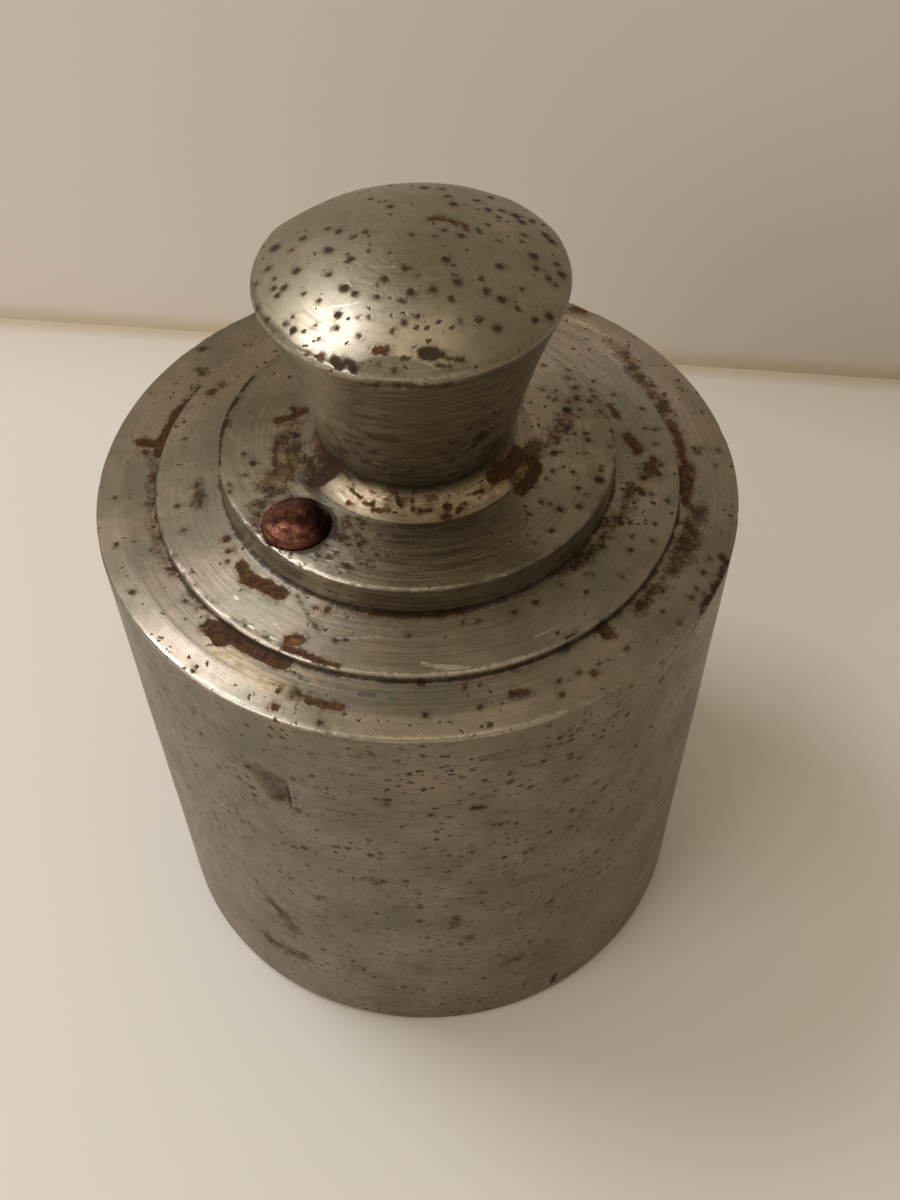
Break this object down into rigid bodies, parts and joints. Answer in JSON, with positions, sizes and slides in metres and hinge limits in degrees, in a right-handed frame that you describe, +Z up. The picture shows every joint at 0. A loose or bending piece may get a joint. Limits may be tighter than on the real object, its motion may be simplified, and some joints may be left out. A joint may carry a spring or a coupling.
{
  "type": "scale weight",
  "caption": "Cylindrical steel balance weight with a stepped top, a flanged knob with a domed crown, and a copper sealing pin.",
  "frame": {"origin": "middle of the base, on the plane that the weight stands on", "axes": "+Z up along the turned axis, through the knob; -Y towards the viewer of the picture; the sealing pin is at -X and -Y"},
  "size_m": [0.054, 0.054, 0.0759],
  "materials": {
    "turned_steel": "satin",
    "handled_steel": "satin",
    "copper": "satin",
    "lead": "matte"
  },
  "bodies": {
    "root": {"body": "turned_steel", "knob": "handled_steel", "sealing_pin": "copper", "adjusting_shot": "lead"}
  },
  "joints": []
}
